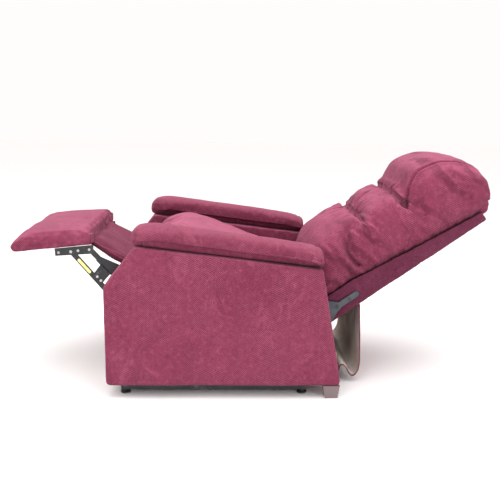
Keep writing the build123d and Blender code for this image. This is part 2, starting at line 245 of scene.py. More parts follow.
def chevrons(g):
    """Embossed zigzag rows crossed by fine beads: 0 in the grooves, 1 on the ribs."""
    first, second = cloth_plane(g)
    column = g.math("SUBTRACT", g.math("FRACT", g.math("DIVIDE", first, CHEVRON_WIDTH)), 0.5)
    row = g.math("ADD", g.math("DIVIDE", second, CHEVRON_PITCH), g.times(g.math("ABSOLUTE", column), 2.0))
    wave = g.math("SINE", g.times(row, TURN))
    bead = g.math("SINE", g.times(g.math("DIVIDE", first, BEAD_WIDTH), TURN))
    return g.ramp(g.math("ADD", wave, g.times(bead, 0.35)), -0.9, 0.9)


def microfibre(name, dark, middle, light, seed=0.0, strokes=0.16, inner=0.90):
    """Napped upholstery cloth: embossed chevrons, brushed patches and a soft sheen, with painted light on upward
    faces and painted shade on downward faces, inward faces and in folds.

    `strokes` sets how far hand marks darken it, `inner` how far painted shade darkens faces turned to the chair's
    middle.
    """
    g = Graph(name, 0.86, Sheen_Weight=0.20, Sheen_Roughness=0.42, Sheen_Tint=(1.0, 0.50, 0.68, 1.0),
              Specular_IOR_Level=0.16)
    place = g.scaled(g.place(), (1, 1, 1), turn=(seed, seed * 0.7, 0))
    slanted = g.scaled(place, (1.0, 1.7, 1.0), turn=(0.7, 0.9, 0.4))
    rib = chevrons(g)
    patch = g.noise(place, scale=4.2, detail=4.0, roughness=0.55, distortion=0.5)
    brushed = g.noise(slanted, scale=6.5, detail=6.0, roughness=0.68, distortion=0.7)
    speck = g.noise(place, scale=230.0, detail=2.0, roughness=0.7)
    mottle = g.noise(place, scale=64.0, detail=5.0, roughness=0.72, distortion=0.3)
    lively = g.ramp(g.noise(place, scale=8.0), 0.40, 0.64)
    stroked = g.ramp(g.noise(place, scale=3.3, detail=2.0), 0.46, 0.62)
    swirl = g.swirls(place, scale=3.6, distortion=7.0)
    facing = g.split(g.place("Normal"))
    inward = g.times(facing[0], g.math("SIGN", g.split(g.place())[0]))
    groove = g.math("SUBTRACT", 1.0, rib)
    fold_shade = dimmed(dark, 0.40)

    shade = g.mix(g.ramp(patch, 0.30, 0.62, 0.62, 1.0), dark, middle)
    shade = g.wash(shade, light, g.ramp(brushed, 0.54, 0.68), 0.58)
    shade = g.wash(shade, dark, groove, g.blend(lively, 0.30, 0.80))
    shade = g.wash(shade, light, rib, g.blend(lively, 0.10, 0.44))
    shade = g.wash(shade, dark, g.ramp(speck, 0.42, 0.66), 0.34)
    # painted shade: faces turned towards the chair's middle are darkened
    shade = g.wash(shade, dark, g.ramp(inward, -0.10, -0.65), inner)
    # painted light: faces turned upwards are lightened
    shade = g.wash(shade, light, g.ramp(facing[2], 0.55, 0.92), 0.46)
    # painted shade: faces turned downwards are darkened
    shade = g.wash(shade, dark, g.ramp(facing[2], -0.10, -0.80), 0.60)
    shade = g.wash(shade, dark, g.ramp(swirl, 0.55, 0.95), g.times(stroked, strokes))
    shade = g.wash(shade, light, g.ramp(mottle, 0.50, 0.72), 0.34)
    shade = g.wash(shade, dark, g.ramp(mottle, 0.50, 0.30), 0.40)
    # painted shade: folds, creases and spots under overhangs are darkened by occlusion
    shade = g.wash(shade, fold_shade, g.ramp(g.hollow(0.055), 0.80, 0.30), 0.80)

    normal = g.bump(g.noise(place, scale=30.0, detail=4.0, roughness=0.6), distance=0.0026, strength=0.7)
    normal = g.bump(rib, distance=0.0014, strength=0.9, before=normal)
    normal = g.bump(speck, distance=0.0005, strength=0.6, before=normal)
    return g.finish(shade, normal, g.ramp(patch, 0.3, 0.7, 0.92, 0.78))


def woven_lining(name, colour):
    """Plain woven cloth with a thread every THREAD metres, greyed in clouds."""
    g = Graph(name, 0.93, Specular_IOR_Level=0.12)
    spot = g.split(g.place())
    warp = g.math("SINE", g.times(spot[0], TURN / THREAD))
    weft = g.math("SINE", g.times(spot[2], TURN / THREAD))
    weave = g.times(warp, weft)
    cloud = g.noise(g.place(), scale=11.0, detail=4.0)
    shade = g.mix(g.ramp(cloud, 0.3, 0.72), dimmed(colour, 0.76), colour)
    shade = g.mix(g.ramp(weave, -0.6, 1.0, 0.0, 0.25), shade, THREAD_LIGHT)
    return g.finish(shade, g.bump(weave, distance=0.0004, strength=0.5))


def painted(name, base, worn, roughness, scratch=0.5):
    """Enamelled steel or moulded plastic, with a fine texture and rubbed spots."""
    g = Graph(name, roughness, Metallic=0.0)
    place = g.place()
    slanted = g.scaled(place, (1.0, 0.35, 0.35), turn=(0.3, 0, 0.2))
    grain = g.noise(place, scale=420.0, detail=2.0)
    rub = g.noise(slanted, scale=46.0, detail=6.0, roughness=0.7, distortion=0.5)
    dust = g.ramp(g.noise(place, scale=14.0), 0.42, 0.8)
    shade = g.mix(g.times(g.ramp(rub, 0.60, 0.72), scratch), base, worn)
    shade = g.wash(shade, DUST, dust, 0.16)
    rough = g.ramp(rub, 0.3, 0.75, roughness * 0.8, min(1.0, roughness * 1.35))
    return g.finish(shade, g.bump(grain, distance=0.00035, strength=0.35), rough)


def plated(name):
    """Zinc-plated steel, finely brushed along X and stained in spots."""
    g = Graph(name, 0.32, Metallic=1.0)
    place = g.place()
    brush = g.noise(g.scaled(place, (0.12, 1.0, 1.0)), scale=380.0)
    stain = g.ramp(g.noise(place, scale=60.0, detail=4.0), 0.45, 0.75)
    shade = g.mix(stain, (0.50, 0.50, 0.49, 1.0), (0.26, 0.25, 0.24, 1.0))
    return g.finish(shade, g.bump(brush, distance=0.0002, strength=0.4), g.ramp(brush, 0.3, 0.7, 0.24, 0.46))


def plywood(name):
    """Varnished plywood with its grain along X."""
    g = Graph(name, 0.7, Specular_IOR_Level=0.25)
    place = g.place()
    along = g.scaled(place, (1.2, 16.0, 16.0), turn=(0.04, 0, 0))
    grain = g.noise(along, scale=9.0, detail=6.0, roughness=0.6, distortion=1.4)
    pore = g.noise(g.scaled(place, (4.0, 90.0, 90.0)), scale=9.0, detail=2.0)
    shade = g.mix(g.ramp(grain, 0.32, 0.7), (0.30, 0.18, 0.09, 1.0), (0.62, 0.45, 0.27, 1.0))
    shade = g.mix(g.ramp(pore, 0.56, 0.7, 0.0, 0.5), shade, (0.2, 0.12, 0.06, 1.0))
    return g.finish(shade, g.bump(grain, distance=0.0006, strength=0.4))


def sticker(name):
    """A blank yellow label, faded in patches and worn at random."""
    g = Graph(name, 0.34)
    faded = g.ramp(g.noise(g.place(), scale=60.0, detail=4.0), 0.35, 0.7)
    edge = g.ramp(g.noise(g.place(), scale=240.0), 0.62, 0.74, 0.0, 0.4)
    shade = g.mix(faded, (0.92, 0.86, 0.24, 1.0), (1.0, 0.97, 0.46, 1.0))
    shade = g.mix(edge, shade, (0.7, 0.66, 0.3, 1.0))
    return g.finish(shade, g.bump(faded, distance=0.0002, strength=0.3))


def studio_floor(name):
    """White studio paper, very slightly clouded."""
    g = Graph(name, 0.6, Specular_IOR_Level=0.2)
    cloud = g.noise(g.place(), scale=1.5)
    return g.finish(g.mix(cloud, (0.985, 0.98, 0.975, 1.0), (0.995, 0.985, 0.98, 1.0)))


DARK = (0.115, 0.015, 0.036, 1.0)
MIDDLE = (0.262, 0.043, 0.094, 1.0)
LIGHT = (0.42, 0.098, 0.175, 1.0)
# SHADED colours: the cloth darkened as painted shade, for the web under the seat and the back's frame rails
SHADED = (0.080, 0.011, 0.027, 1.0)
SHADED_MIDDLE = (0.160, 0.024, 0.054, 1.0)
SHADED_LIGHT = (0.24, 0.048, 0.090, 1.0)
# the arms' copy of the cloth, darkened as painted shade
ARM_SHADED_MIDDLE = (0.200, 0.032, 0.070, 1.0)
ARM_SHADED_LIGHT = (0.37, 0.086, 0.150, 1.0)
# the seat's copy of the cloth, lightened as painted light
SEAT_LIT_MIDDLE = (0.325, 0.058, 0.118, 1.0)
SEAT_LIT_LIGHT = (0.50, 0.125, 0.215, 1.0)
# the side bands' copy of the cloth, darkened as painted shade
SHELL_SHADED_MIDDLE = (0.140, 0.026, 0.062, 1.0)
SHELL_SHADED_LIGHT = (0.22, 0.050, 0.102, 1.0)
MATERIALS = {
    "upholstery": microfibre("upholstery_nap", DARK, MIDDLE, LIGHT, inner=0.20),
    "shaded_upholstery": microfibre("upholstery_nap_painted_shade", SHADED, SHADED_MIDDLE, SHADED_LIGHT,
                                    seed=2.0),
    "back_upholstery": microfibre("upholstery_nap_back", DARK, MIDDLE, LIGHT, strokes=0.70),
    "arm_upholstery": microfibre("upholstery_nap_arms_painted_shade", DARK, ARM_SHADED_MIDDLE, ARM_SHADED_LIGHT, seed=3.0),
    "seat_upholstery": microfibre("upholstery_nap_seat_painted_light", DARK, SEAT_LIT_MIDDLE, SEAT_LIT_LIGHT, seed=4.0),
    "shell_upholstery": microfibre("upholstery_nap_band_painted_shade", SHADED, SHELL_SHADED_MIDDLE, SHELL_SHADED_LIGHT, seed=1.0),
    "lining": woven_lining("lining_weave", (0.80, 0.74, 0.68, 1.0)),
    "black_steel": painted("black_enamel", base=(0.012, 0.013, 0.016, 1.0),
                           worn=(0.16, 0.17, 0.19, 1.0), roughness=0.36),
    "bracket_steel": painted("slate_enamel", base=(0.036, 0.052, 0.064, 1.0),
                             worn=(0.17, 0.19, 0.21, 1.0), roughness=0.40, scratch=0.4),
    "zinc_steel": plated("zinc_plate"),
    "black_plastic": painted("black_moulding", base=(0.016, 0.016, 0.018, 1.0),
                             worn=(0.07, 0.07, 0.075, 1.0), roughness=0.55, scratch=0.3),
    "foot_plastic": painted("taupe_moulding", base=(0.185, 0.135, 0.140, 1.0),
                            worn=(0.27, 0.21, 0.21, 1.0), roughness=0.6, scratch=0.4),
    "wood": plywood("plywood_grain"),
    "label": sticker("blank_sticker"),
}


# ---- mesh helpers -------------------------------------------------------------------------------
def link(name, mesh):
    piece = bpy.data.objects.new(name, mesh)
    scene.collection.objects.link(piece)
    return piece


def copy_nodes(name, *nodes):
    """One new object holding copies of the named CAD nodes' meshes."""
    bm = bmesh.new()
    for node in nodes:
        bm.from_mesh(frame["nodes"][node].data)
    bmesh.ops.remove_doubles(bm, verts=bm.verts, dist=1e-5)
    mesh = bpy.data.meshes.new(name)
    bm.to_mesh(mesh)
    bm.free()
    return link(name, mesh)


def read(mesh, attribute):
    """Three numbers for every vertex, one row each."""
    flat = np.empty(len(mesh.vertices) * 3, np.float32)
    mesh.vertices.foreach_get(attribute, flat)
    return flat.reshape(-1, 3).astype(np.float64)


def surface(piece):
    return read(piece.data, "co"), read(piece.data, "normal")


def set_points(piece, points):
    piece.data.vertices.foreach_set("co", points.astype(np.float32).ravel())
    piece.data.update()


def evaluated_mesh(piece):
    graph = bpy.context.evaluated_depsgraph_get()
    return bpy.data.meshes.new_from_object(piece.evaluated_get(graph))


def apply_modifiers(piece):
    mesh = evaluated_mesh(piece)
    piece.modifiers.clear()
    piece.data = mesh


def remesh(piece, voxel, relax):
    """An even mesh over the piece, its edges rounded by a few relaxing passes."""
    mod = piece.modifiers.new("remesh", "REMESH")
    mod.mode = "VOXEL"
    mod.voxel_size = voxel
    apply_modifiers(piece)
    mod = piece.modifiers.new("relax", "SMOOTH")
    mod.factor = 0.5
    mod.iterations = relax
    apply_modifiers(piece)


def subdivide(piece):
    """Twice as fine a mesh, shaded smooth. Returns its points and normals."""
    mod = piece.modifiers.new("subdivide", "SUBSURF")
    mod.levels = 1
    mod.render_levels = 1
    apply_modifiers(piece)
    for face in piece.data.polygons:
        face.use_smooth = True
    return surface(piece)


CLOTH_FRAMES = 20
CLOTH_STIFFNESS = 14.0
CLOTH_BENDING = 0.8


def inflate(piece, held, cap, pressure=4.0, slack=0.03):
    """Blow the piece up as a cloth bag. `held` marks the points sewn down; `cap` limits movement."""
    rest = read(piece.data, "co")
    group = piece.vertex_groups.new(name="sewn")
    group.add([int(i) for i in np.nonzero(held)[0]], 1.0, "REPLACE")
    mod = piece.modifiers.new("Cloth", "CLOTH")
    cloth = mod.settings
    cloth.quality = 4
    cloth.mass = 0.25
    cloth.tension_stiffness = CLOTH_STIFFNESS
    cloth.compression_stiffness = CLOTH_STIFFNESS
    cloth.shear_stiffness = CLOTH_STIFFNESS / 3
    cloth.bending_stiffness = CLOTH_BENDING
    cloth.air_damping = 2.0
    cloth.use_pressure = True
    cloth.uniform_pressure_force = pressure
    cloth.shrink_min = -slack
    cloth.vertex_group_mass = "sewn"
    cloth.effector_weights.gravity = 0.0
    mod.collision_settings.use_collision = False
    mod.point_cache.frame_start = 1
    mod.point_cache.frame_end = CLOTH_FRAMES
    for step in range(1, CLOTH_FRAMES + 1):
        scene.frame_set(step)
    blown = evaluated_mesh(piece)
    moved = read(blown, "co") - rest
    size = np.linalg.norm(moved, axis=1, keepdims=True)
    moved *= np.minimum(1.0, cap / np.maximum(size, 1e-9))
    piece.modifiers.clear()
    piece.vertex_groups.clear()
    set_points(piece, rest + moved)
    bpy.data.meshes.remove(blown)
    scene.frame_set(1)


def pushed(points, normals, lift):
    """The points moved along their normals."""
    return points + normals * lift[:, None]


def ripple(points, size, seed):
    """Smooth noise between -1 and 1 at every point, with features about `size` metres across."""
    shift = Vector((seed * 3.1, seed * 1.7, seed * 0.9))
    return np.array([noise.noise(Vector(p) / size + shift) for p in points])


def smoothstep(x):
    x = np.clip(x, 0.0, 1.0)
    return x * x * (3 - 2 * x)


def bell(x, width):
    return np.exp(-(x / width) ** 2)


def waves(x, length, shift=0.0):
    return np.sin(TURN * x / length + shift)


def dress(piece, body, *nodes, fill=None, cloth="upholstery"):
    """Cloth, body and replaced CAD nodes of a finished upholstered piece."""
    piece.data.materials.clear()
    piece.data.materials.append(MATERIALS[cloth])
    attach(piece, body)
    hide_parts(*nodes)


# ---- the leaning back ---------------------------------------------------------------------------
LEAN = math.radians(35.2)
RECLINE_AT = next(j["pos_m"] for j in frame["joints"] if j["name"] == "recline")
BACK_CORNER = (RECLINE_AT[1] + 0.017, RECLINE_AT[2] - 0.103)
BACK_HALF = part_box("back_board")[1][0]
BACK_LENGTH = 0.690
CUSHION_FACE = 0.185           # w above which a point is on the cushion's front
HEAD_TOP = 0.640               # u of the pillow's overhanging lip
LIP_BOTTOM = 0.031             # lowest w of that lip
HEAD_SEAM_AT = 0.196           # |x| of the seam up each side of the pillow's face
HEAD_SEAM_FLARE = 0.052        # how much wider it starts at the crease
SIDE_TUCK_AT = 0.236           # u of the tuck in each side
HIP = 0.44                     # u below which the cushion has to clear the arms
CREASE_LOW = 0.331
CREASE_HIGH = 0.479
CREASES = ((CREASE_LOW, 0.045, 0.17, 2.0), (CREASE_HIGH, 0.034, 0.24, 5.0))    # at u, reach, half width, seed
GATHER_SPACING = 0.044
BUTTON_AT = 0.085              # tufts either side of the middle
BAND_STAPLES = ((0.500, 0.030), (0.415, 0.032), (0.330, 0.034), (0.262, 0.052))    # (u, w), each side


def to_back(points):
    """Distances up the back (u) and forward of its rear face (w)."""
    y = points[:, 1] - BACK_CORNER[0]
    z = points[:, 2] - BACK_CORNER[1]
    return y * math.cos(LEAN) + z * math.sin(LEAN), z * math.cos(LEAN) - y * math.sin(LEAN)


def from_back(x, u, w):
    """The reverse of to_back, with the distance across."""
    y = BACK_CORNER[0] + u * math.cos(LEAN) - w * math.sin(LEAN)
    z = BACK_CORNER[1] + u * math.sin(LEAN) + w * math.cos(LEAN)
    return np.column_stack([x, y, z])


def band(u):
    """Height of the side band's edge above the back's rear face."""
    return np.interp(u, [0, 0.200, 0.254, 0.420, BACK_LENGTH], [0.090, 0.090, 0.081, 0.062, 0.036])


def soft_limit(x, limit, margin=0.008):
    """Hold |x| under a limit without a hard edge."""
    over = np.maximum(np.abs(x) - (limit - margin), 0.0)
    held = np.minimum(np.abs(x), limit - margin) + margin * (1 - np.exp(-over / margin))
    return np.sign(x) * held


def gathers(x, u, crease, reach, seed):
    """Small folds that start at a crease and run away from it."""
    wobble = 0.5 * np.sin(x * 27.0 + seed) + 0.4 * np.sin(x * 61.0 + seed * 2.3)
    distance = np.abs(u - crease)
    spread = 1 + distance / (reach * 2.2)
    fold = waves(x, length=GATHER_SPACING * spread, shift=wobble * 3.4 + seed)
    strength = 0.65 + 0.35 * np.sin(x * 43.0 + seed * 1.9)
    start = smoothstep((distance - 0.004) / 0.012)
    return fold * strength * start * np.exp(-distance / reach)


def cushion_profile(x, u, w, rise):
    """Three flat-topped bolsters drawn together at the creases, crowned across, tucked in at the band."""
    high = smoothstep((w - CUSHION_FACE) / 0.03)
    w = w + 0.026 * bell(u - CREASE_LOW, 0.022) * high
    w = w + 0.008 * bell(u - CREASE_LOW, 0.026) * smoothstep((np.abs(x) - 0.12) / 0.10) * high
    w = w + 0.030 * bell(u - CREASE_HIGH, 0.022) * high
    w = w - 0.030 * bell(u - CREASE_HIGH - 0.036, 0.038) * high
    w = w - 0.010 * bell(u - CREASE_LOW - 0.022, 0.020) * high
    w = np.where(u > HEAD_TOP, np.maximum(w, LIP_BOTTOM), w)
    u = u - 0.019 * smoothstep((u - 0.600) / 0.12)
    w = w - 0.004 * smoothstep((u - 0.560) / 0.15) * high
    w = w - 0.012 * bell(u - 0.412, 0.048) * high
    w = w - 0.010 * (1 - smoothstep((rise - 0.004) / 0.020))
    across = np.abs(x) / BACK_HALF
    crown = smoothstep(rise / 0.12)
    w = w - crown * (0.038 * across ** 5 + 0.008 * across ** 2)
    tucked = (1 - smoothstep((rise - 0.004) / 0.030)) * smoothstep((np.abs(x) - 0.19) / 0.05)
    x = x - np.sign(x) * (0.004 + 0.012 * tucked) * smoothstep((np.abs(x) - 0.15) / 0.08)
    return x, u, w


def back_cushion():
    """Lower bolster, middle bolster and head pillow: one sewn cover, tufted across at two creases."""
    nodes = ("back_lower_bolster", "back_middle_bolster", "head_pillow")
    piece = copy_nodes("back_cushion_cover", *nodes)
    remesh(piece, voxel=0.0075, relax=8)
    points = surface(piece)[0]
    x, (u, w) = points[:, 0], to_back(points)
    rise = w - band(u)
    x, u, w = cushion_profile(x, u, w, rise)
    set_points(piece, from_back(x, u, w))
    sewn = rise < 0.008
    for crease, half in ((CREASE_LOW, 0.150), (CREASE_HIGH, 0.235)):
        sewn |= (np.abs(u - crease) < 0.011) & (np.abs(x) < half) & (rise > 0.10)
    inflate(piece, sewn, cap=0.024, slack=0.05)

    points, normals = subdivide(piece)
    x, (u, w) = points[:, 0], to_back(points)
    rise = w - band(u)
    upper = smoothstep((rise - 0.10) / 0.05)
    side = smoothstep((np.abs(x) - 0.205) / 0.03)
    lift = 0.0038 * ripple(points, size=0.120, seed=4) + 0.0018 * ripple(points, size=0.042, seed=9)
    lift = lift + crease_folds(x, u, upper) + side_folds(u, w, rise, side) + head_seam(x, u, w)
    points = pushed(points, normals, lift)
    points[:, 0] = soft_limit(points[:, 0], np.where(u < HIP, BACK_HALF + 0.0085, BACK_HALF + 0.016))
    set_points(piece, points)
    dress(piece, "back", *nodes, fill=0.75, cloth="back_upholstery")


def crease_folds(x, u, upper):
    """Tufted creases and the gathers that run out from them."""
    lift = np.zeros(len(x))
    for crease, reach, half, seed in CREASES:
        inside = 1 - smoothstep((np.abs(x) - half) / 0.05)
        below = np.where(u < crease, 1.0, 0.55)
        lift += 0.0050 * gathers(x, u, crease, reach, seed) * upper * below * (0.35 + 0.65 * inside)
        lift -= 0.009 * bell(u - crease, 0.007) * upper * inside
        button = bell(np.abs(x) - BUTTON_AT, 0.020) * bell(u - crease, 0.022)
        lift -= 0.008 * button * upper
    return lift


def side_folds(u, w, rise, side):
    """Tuck between the two lower bolsters, puckers along the band and crumples of the cheek."""
    tuck_run = smoothstep((w - 0.085) / 0.03) * (1 - smoothstep((w - 0.205) / 0.05))
    centre = SIDE_TUCK_AT + 0.010 * np.sin(w * 30)
    lift = -0.0200 * bell(u - centre, 0.009) * tuck_run
    lift = lift - 0.0080 * bell(u - centre - 0.014, 0.014) * tuck_run
    lift = lift + 0.0075 * bell(u - centre - 0.044, 0.022) * tuck_run
    lift = lift + 0.0030 * waves(u - 0.12, length=0.031, shift=w * 14) * bell(u - 0.185, 0.045) * tuck_run
    end_fold = bell(u - CREASE_HIGH - 0.002, 0.008) * bell(w - 0.232, 0.026)
    lift = lift - 0.016 * end_fold
    trail = bell(u - CREASE_HIGH - 0.22 * (0.234 - w), 0.006) * bell(w - 0.185, 0.045)
    lift = lift - 0.0060 * trail
    fan = waves(u - CREASE_LOW + 0.35 * (w - 0.22), length=0.030)
    lift = lift + 0.0028 * fan * bell(u - CREASE_LOW, 0.060) * bell(w - 0.215, 0.035)
    pucker = waves(u, length=0.036, shift=2.2 * np.sin(u * 23))
    lift = lift + 0.0011 * pucker * np.exp(-np.maximum(rise, 0) / 0.03)
    crumple = waves(u * 0.9 + w * 0.7, length=0.033, shift=2.4 * np.sin(w * 38 + u * 11))
    lift = lift + 0.0036 * crumple * bell(u - 0.675, 0.050) * bell(w - 0.165, 0.060)
    return lift * side


def head_seam(x, u, w):
    """Curved seam between the head pillow's face and each cheek."""
    top = smoothstep((w - 0.13) / 0.04) * smoothstep((u - CREASE_HIGH) / 0.012)
    line = HEAD_SEAM_AT + HEAD_SEAM_FLARE * np.exp(-(u - CREASE_HIGH) / 0.028)
    gap = np.abs(x) - line
    lift = -0.0090 * bell(gap, 0.0050)
    lift = lift - 0.010 * bell(gap, 0.009) * bell(u - CREASE_HIGH - 0.008, 0.014)
    lift = lift + 0.0034 * bell(gap - 0.011, 0.007) + 0.0018 * bell(gap + 0.010, 0.007)
    stitch = 0.0008 * waves(u, length=0.007) * bell(gap + 0.006, 0.003)
    return (lift + stitch) * top


def back_shell():
    """Upholstered cover over the back board and its side bands, in a copy of the cloth darkened as painted shade.
    """
    piece = copy_nodes("back_shell_cover", "back_board", "back_side_bands")
    remesh(piece, voxel=0.006, relax=8)
    points, normals = subdivide(piece)
    u, w = to_back(points)
    lift = 0.0012 * ripple(points, size=0.09, seed=11) + 0.0006 * ripple(points, size=0.03, seed=12)
    rear = smoothstep((0.012 - w) / 0.01)
    lift = lift - 0.0030 * rear * bell(np.abs(points[:, 0]) - (BACK_HALF - 0.022), 0.004)
    seam = bell(u - 0.200, 0.004) + bell(u - 0.420, 0.003)
    lift = lift - 0.0012 * seam
    for spot_u, spot_w in BAND_STAPLES:
        lift = lift - 0.0040 * bell(np.hypot(u - spot_u, w - spot_w), 0.0045)
    set_points(piece, pushed(points, normals, lift))
    dress(piece, "back", "back_board", "back_side_bands", cloth="shell_upholstery")


# ---- seat, arms, panels -------------------------------------------------------------------------
SEAT_DOME = 0.016              # how much lower the seat's edges are than its middle
SEAT_SEAM = 0.030              # from the seat's edge in to its seam
ARM_STATIONS = 60              # slices along the arm where its top and bottom are measured
ARM_DROP = 0.040               # how much lower the arm's edges are than its middle
ARM_TUCK = 0.020               # how far its lower edge and its nose draw in
ARM_BULGE = 0.011              # how far its rolled front stands out
PANEL_BELLY = 0.004
PANEL_HEM = 0.022              # height of the stitched hem above the panel's lower edge


def seat_cushion():
    """The seat cushion, domed across and seamed along both edges, in a copy of the cloth lightened as painted
    light.
    """
    low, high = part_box("seat_cushion")
    half = high[0]
    piece = copy_nodes("seat_cushion_cover", "seat_cushion")
    remesh(piece, voxel=0.009, relax=9)
    points = surface(piece)[0]
    top = np.interp(points[:, 1], [low[1], low[1] + 0.10, high[1]], [high[2] - 0.05, high[2], high[2] - 0.14])
    crown = smoothstep((points[:, 2] - (top - 0.12)) / 0.10)
    points[:, 2] -= SEAT_DOME * crown * (np.abs(points[:, 0]) / half) ** 3
    set_points(piece, points)
    underside = surface(piece)[1][:, 2] < -0.4
    inflate(piece, underside, cap=0.022, pressure=3.5)
    points, normals = subdivide(piece)
    lift = 0.0035 * ripple(points, size=0.14, seed=21) + 0.0012 * ripple(points, size=0.04, seed=22)
    seam = bell(np.abs(points[:, 0]) - (half - SEAT_SEAM), 0.004) * smoothstep(normals[:, 2] + 0.5)
    lift = lift - 0.0035 * seam
    points = pushed(points, normals, lift)
    points[:, 0] = np.clip(points[:, 0], -half - 0.006, half + 0.006)
    set_points(piece, points)
    dress(piece, "seat", "seat_cushion", fill=0.75, cloth="seat_upholstery")


def arm_pad(name, node, sign):
    """A padded arm top that rolls down over its front end, in a copy of the cloth darkened as painted shade."""
    low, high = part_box(node)
    piece = copy_nodes(name, node)
    remesh(piece, voxel=0.0065, relax=10)
    points, normals = surface(piece)
    middle = sign * (abs(low[0]) + abs(high[0])) / 2
    half = (high[0] - low[0]) / 2
    across = np.clip(np.abs(points[:, 0] - middle) / half, 0, 1)
    stations = np.linspace(low[1], high[1], ARM_STATIONS)
    slots = np.clip(np.searchsorted(stations, points[:, 1]), 0, ARM_STATIONS - 1)
    heights = [points[np.abs(slots - i) <= 1, 2] for i in range(ARM_STATIONS)]
    top = np.array([z.max() for z in heights])
    bottom = np.array([z.min() for z in heights])
    height = (points[:, 2] - bottom[slots]) / (top[slots] - bottom[slots])
    points[:, 2] -= smoothstep((height - 0.25) / 0.75) * (0.007 + ARM_DROP * across ** 2.4)
    tucked = (1 - smoothstep(height / 0.50)) * ARM_TUCK
    nose = 1 - smoothstep((points[:, 1] - low[1]) / 0.045)
    points[:, 0] -= np.sign(points[:, 0] - middle) * across ** 2 * (tucked * (1 - nose) + ARM_TUCK * nose)
    points[:, 1] -= ARM_BULGE * (1 - smoothstep((points[:, 1] - low[1]) / 0.05)) * (1 - across ** 3)
    points[:, 1] += 0.009 * (1 - smoothstep((high[1] - points[:, 1]) / 0.04))
    set_points(piece, points)
    inflate(piece, normals[:, 2] < -0.55, cap=0.010, pressure=3.0, slack=0.015)
    points, normals = subdivide(piece)
    length = (points[:, 1] - low[1]) / (high[1] - low[1])
    lift = 0.0018 * ripple(points, size=0.10, seed=31 + sign) + 0.0007 * ripple(points, size=0.03, seed=33)
    rear_seam = bell(points[:, 1] - (high[1] - 0.014), 0.0028)
    front_seam = bell(points[:, 1] - (low[1] + 0.030), 0.0032) * smoothstep(np.abs(normals[:, 0]) * 1.6)
    lift = lift - 0.0028 * rear_seam - 0.0022 * front_seam
    tucks = waves(points[:, 2], length=0.018) * bell(length, 0.05) * np.abs(normals[:, 0])
    lift = lift + 0.0012 * tucks
    points = pushed(points, normals, lift)
    inner = min(abs(low[0]), abs(high[0]))
    points[:, 0] = sign * np.maximum(np.abs(points[:, 0]), inner - 0.002)
    set_points(piece, points)
    dress(piece, "chassis", node, fill=0.7, cloth="arm_upholstery")


def side_panel(name, node, sign):
    """Cloth pulled over the wooden side panel, tucked under the arm and hemmed at the bottom."""
    low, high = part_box(node)
    piece = copy_nodes(name, node)
    remesh(piece, voxel=0.0075, relax=3)
    points, normals = subdivide(piece)
    outward = smoothstep((sign * normals[:, 0] - 0.3) / 0.5)
    height = (points[:, 2] - low[2]) / (high[2] - low[2])
    run = (points[:, 1] - low[1]) / (high[1] - low[1])
    belly = np.sin(math.pi * np.clip(height, 0, 1)) * np.sin(math.pi * np.clip(run, 0, 1))
    lift = PANEL_BELLY * belly * outward
    lift = lift + 0.0018 * ripple(points, size=0.16, seed=41 + sign)
    lift = lift + 0.0005 * ripple(points, size=0.035, seed=43)
    hem = bell(points[:, 2] - (low[2] + PANEL_HEM), 0.0022)
    lift = lift - 0.0016 * hem * outward
    front_seam = bell(points[:, 1] - (low[1] + 0.014), 0.0026) * outward
    lift = lift - 0.0016 * front_seam
    pulls = waves(points[:, 1], length=0.045, shift=1.7 * np.sin(points[:, 1] * 19))
    lift = lift + 0.0010 * pulls * outward * smoothstep((height - 0.80) / 0.2)
    points = pushed(points, normals, lift)
    inner = min(abs(low[0]), abs(high[0]))
    points[:, 0] = sign * np.maximum(np.abs(points[:, 0]), inner)
    set_points(piece, points)
    dress(piece, "chassis", node)


# ---- leg rest -----------------------------------------------------------------------------------
FOOTREST_CROWN = 0.008         # how much fuller the pad is along its middle
WEB_REACH = 0.034              # how far the web runs on under the seat cushion


def footrest_pad():
    """The footrest's pad and its board, in one cover that is fuller along the middle."""
    low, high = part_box("footrest_pad")
    half = high[0]
    piece = copy_nodes("footrest_cushion", "footrest_pad", "footrest_board")
    remesh(piece, voxel=0.006, relax=6)
    points, normals = surface(piece)
    inflate(piece, normals[:, 2] < -0.5, cap=0.012, pressure=3.5, slack=0.02)
    points, normals = subdivide(piece)
    across = np.abs(points[:, 0]) / half
    top = smoothstep(normals[:, 2] * 2)
    lift = 0.0024 * ripple(points, size=0.08, seed=51) + 0.0010 * ripple(points, size=0.03, seed=52)
    along = np.clip((points[:, 1] - low[1]) / (high[1] - low[1]), 0, 1)
    lift = lift + FOOTREST_CROWN * top * np.sin(math.pi * along) * (1 - across ** 3)
    lift = lift - 0.0035 * top * across ** 6
    seam = bell(points[:, 1] - (high[1] - 0.010), 0.003) * top
    folds = waves(points[:, 0], length=0.055, shift=2 * np.sin(points[:, 0] * 17))
    lift = lift - 0.003 * seam + 0.0014 * folds * top * bell(points[:, 1] - high[1], 0.05)
    under = smoothstep(-normals[:, 2] * 2)
    lift = np.where(under > 0.5, np.minimum(lift, 0.0), lift)
    points = pushed(points, normals, lift)
    points[:, 0] = np.clip(points[:, 0], -half - 0.003, half + 0.003)
    set_points(piece, points)
    dress(piece, "footrest", "footrest_pad", "footrest_board", fill=0.6)


